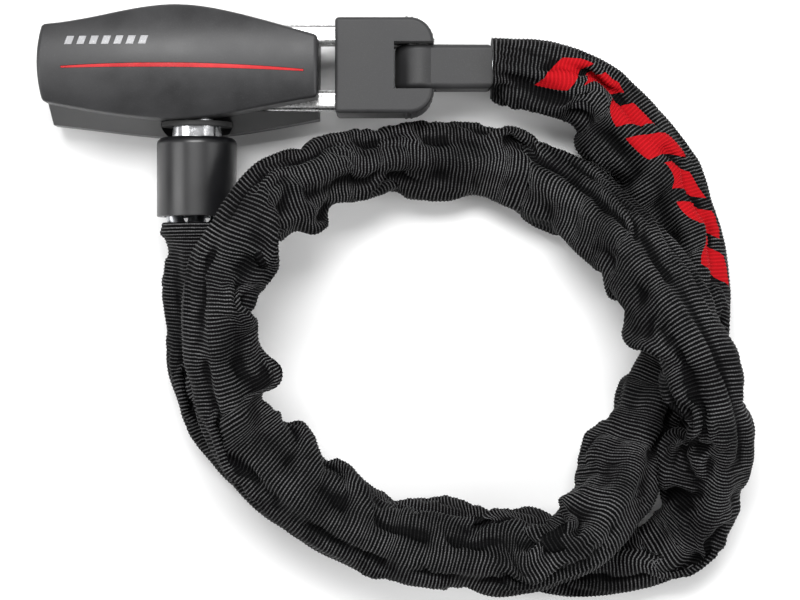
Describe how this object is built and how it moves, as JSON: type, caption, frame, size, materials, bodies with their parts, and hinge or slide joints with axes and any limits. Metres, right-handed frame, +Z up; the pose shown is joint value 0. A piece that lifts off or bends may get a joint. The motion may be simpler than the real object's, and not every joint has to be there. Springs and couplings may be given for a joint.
{
  "type": "chain lock",
  "caption": "Key-operated bicycle chain lock: a moulded head with a steel loop and pivoting strap, and a fabric-sleeved link chain ending in a locking bolt.",
  "frame": {"origin": "middle of the flat rest pad under the lock head", "axes": "+Z up out of the front cover, +X from the keyway end of the head to the strap, -Y the way the bolt is pulled out"},
  "size_m": [0.2582, 0.215, 0.0671],
  "materials": {
    "cover_plastic": "charcoal satin polyamide with a fine grain",
    "shell_plastic": "black satin polyamide with a fine grain",
    "red_inlay": "red glossy inlay",
    "badge": "light grey inlay",
    "pad_rubber": "matt black rubber",
    "zinc_steel": "zinc plated steel",
    "loop_steel": "bright hardened steel with a speckled skin",
    "bolt_chrome": "polished chrome",
    "brass": "machined brass",
    "cover_rubber": "dark grey soft touch rubber",
    "cap_black": "black satin lacquer",
    "sleeve_fabric": "ribbed black woven polyamide sleeve",
    "chain_steel": "hardened zinc plated chain steel"
  },
  "bodies": {
    "lock_head": {"front_cover": "cover_plastic", "rear_shell": "shell_plastic", "red_inlay": "red_inlay", "badge_bars": "badge", "rest_pad": "pad_rubber", "port_seal": "pad_rubber", "lock_core": "zinc_steel", "leg_pin_upper": "zinc_steel", "leg_pin_lower": "zinc_steel", "key_cylinder": "brass", "drill_plate": "zinc_steel", "keyway_bezel": "zinc_steel", "cylinder_clamp": "zinc_steel", "latch_spring": "zinc_steel", "steel_loop": "loop_steel", "loop_cover": "cover_rubber", "pivot_bush": "zinc_steel", "sleeve_strap_end": "sleeve_fabric", "sleeve": "sleeve_fabric", "sleeve_bolt_end": "sleeve_fabric", "casing_screw_1": "zinc_steel", "casing_screw_2": "zinc_steel", "casing_screw_3": "zinc_steel", "casing_screw_4": "zinc_steel", "chain_strap_end": "chain_steel", "chain_run_1": "chain_steel", "chain_run_2": "chain_steel", "chain_run_3": "chain_steel", "chain_run_4": "chain_steel", "chain_bolt_end": "chain_steel"},
    "lock_plug": {"key_plug": "brass", "plug_spindle": "zinc_steel", "tumbler_1": "brass", "tumbler_2": "brass", "tumbler_3": "brass", "tumbler_4": "brass", "tumbler_5": "brass", "tumbler_6": "brass"},
    "latch": {"latch_bolt": "zinc_steel"},
    "bolt_end": {"bolt_pin": "bolt_chrome", "bolt_cap": "cap_black", "bolt_link_pin": "zinc_steel", "cap_ferrule": "zinc_steel", "bolt_link": "chain_steel"},
    "strap": {"anchor_strap": "zinc_steel", "strap_boot": "cover_rubber", "strap_ferrule": "zinc_steel"}
  },
  "joints": [
    {"name": "plug_turn", "type": "hinge", "parent": "lock_head", "child": "lock_plug", "pos_m": [-0.031, 0, 0.022], "axis": [1, 0, 0], "range_deg": [0, 90]},
    {"name": "latch_slide", "type": "slide", "parent": "lock_head", "child": "latch", "axis": [1, 0, 0], "range_m": [0, 0.003], "deforming": ["latch_spring"]},
    {"name": "bolt_pull", "type": "slide", "parent": "lock_head", "child": "bolt_end", "axis": [0, -1, 0], "range_m": [0, 0.028], "deforming": ["sleeve_bolt_end", "chain_bolt_end"]},
    {"name": "strap_swing", "type": "hinge", "parent": "lock_head", "child": "strap", "pos_m": [0.086, 0, 0.022], "axis": [0, -1, 0], "range_deg": [-10, 60], "deforming": ["sleeve_strap_end", "chain_strap_end"]}
  ],
  "couplings": [
    {"joint": "latch_slide", "follows": "plug_turn", "m_per_rad": 0.001909}
  ]
}
